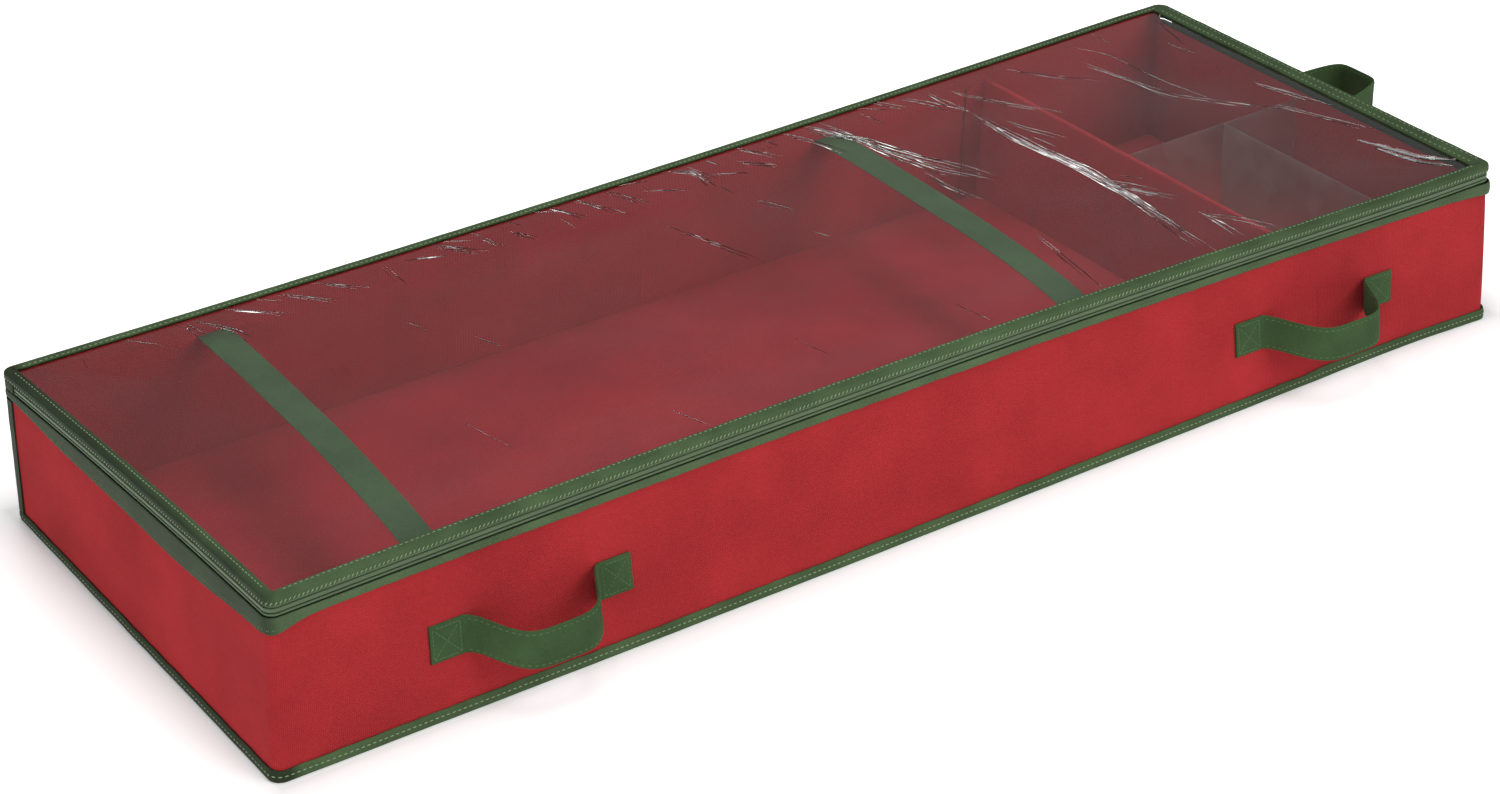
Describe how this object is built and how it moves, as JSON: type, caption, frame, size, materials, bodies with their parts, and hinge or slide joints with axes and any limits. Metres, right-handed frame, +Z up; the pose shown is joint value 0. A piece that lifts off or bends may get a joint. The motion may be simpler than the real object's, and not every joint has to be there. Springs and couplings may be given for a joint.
{
  "type": "gift wrap organizer",
  "caption": "Long low zipped fabric storage box with a clear hinged window lid, a roll bay with hold-down straps, divided accessory cells and webbing handles.",
  "frame": {"origin": "on the floor under the middle of the box, on the underside of its floor cover", "axes": "+X along the box towards the accessory end, +Y from the front wall with two handles to the hinged back, +Z up"},
  "size_m": [1.0911, 0.4184, 0.122],
  "materials": {
    "red_fabric": "matte red non-woven cloth",
    "red_lining": "matte red lining cloth",
    "chipboard": "raw grey chipboard",
    "green_binding": "dark green twill tape",
    "green_webbing": "dark green woven webbing",
    "zip_tape": "green zip tape",
    "zip_coil": "green nylon coil",
    "clear_film": "clear soft vinyl film",
    "frosted_sheet": "frosted translucent plastic",
    "painted_metal": "green paint on cast metal"
  },
  "bodies": {
    "box": {"floor_outer_cover": "red_fabric", "front_outer_cover": "red_fabric", "right_outer_cover": "red_fabric", "back_outer_cover": "red_fabric", "left_outer_cover": "red_fabric", "floor_board": "chipboard", "front_board": "chipboard", "right_board": "chipboard", "back_board": "chipboard", "left_board": "chipboard", "divider_board": "chipboard", "floor_lining": "red_lining", "front_lining": "red_lining", "right_lining": "red_lining", "back_lining": "red_lining", "left_lining": "red_lining", "divider_sleeve": "red_lining", "divider_front_flange": "red_lining", "divider_back_flange": "red_lining", "front_bottom_binding": "green_binding", "right_bottom_binding": "green_binding", "back_bottom_binding": "green_binding", "left_bottom_binding": "green_binding", "front_rim_binding": "green_binding", "right_rim_binding": "green_binding", "left_rim_binding": "green_binding", "back_hinge_binding": "green_binding", "back_left_corner_binding": "green_binding", "back_right_corner_binding": "green_binding", "zip_end_tab_left": "green_binding", "zip_end_tab_right": "green_binding", "lower_zip_tape": "zip_tape", "lower_zip_coil": "zip_coil", "left_hold_down_strap": "green_webbing", "right_hold_down_strap": "green_webbing", "front_left_handle_left_end": "green_webbing", "front_left_handle_right_end": "green_webbing", "front_right_handle_left_end": "green_webbing", "front_right_handle_right_end": "green_webbing", "end_handle_front_end": "green_webbing", "end_handle_back_end": "green_webbing", "clear_cross_partition": "frosted_sheet", "clear_lengthwise_partition": "frosted_sheet"},
    "lid": {"lid_window": "clear_film", "lid_front_binding": "green_binding", "lid_right_binding": "green_binding", "lid_left_binding": "green_binding", "lid_back_binding": "green_binding", "upper_zip_tape": "zip_tape", "upper_zip_coil": "zip_coil"},
    "front_left_loop": {"front_left_handle_loop": "green_webbing"},
    "front_right_loop": {"front_right_handle_loop": "green_webbing"},
    "end_loop": {"end_handle_loop": "green_webbing"},
    "slider": {"zip_slider": "painted_metal"},
    "pull": {"zip_pull_tab": "painted_metal"}
  },
  "joints": [
    {"name": "lid_hinge", "type": "hinge", "parent": "box", "child": "lid", "pos_m": [0, 0.1875, 0.12065], "axis": [-1, 0, 0], "range_deg": [0, 180]},
    {"name": "front_left_handle_lift", "type": "hinge", "parent": "box", "child": "front_left_loop", "pos_m": [-0.328, -0.196, 0.053], "axis": [-1, 0, 0], "range_deg": [0, 44]},
    {"name": "front_right_handle_lift", "type": "hinge", "parent": "box", "child": "front_right_loop", "pos_m": [0.338, -0.196, 0.053], "axis": [-1, 0, 0], "range_deg": [0, 41]},
    {"name": "end_handle_swing", "type": "hinge", "parent": "box", "child": "end_loop", "pos_m": [0.529, 0.02, 0.0887], "axis": [0, -1, 0], "range_deg": [-40, 35]},
    {"name": "zip_slide", "type": "slide", "parent": "box", "child": "slider", "axis": [0, -1, 0], "range_m": [0, 0.335]},
    {"name": "zip_pull_swing", "type": "hinge", "parent": "slider", "child": "pull", "pos_m": [0.5168, 0.1628, 0.11205], "axis": [0, 0, 1], "range_deg": [0, 170]}
  ]
}
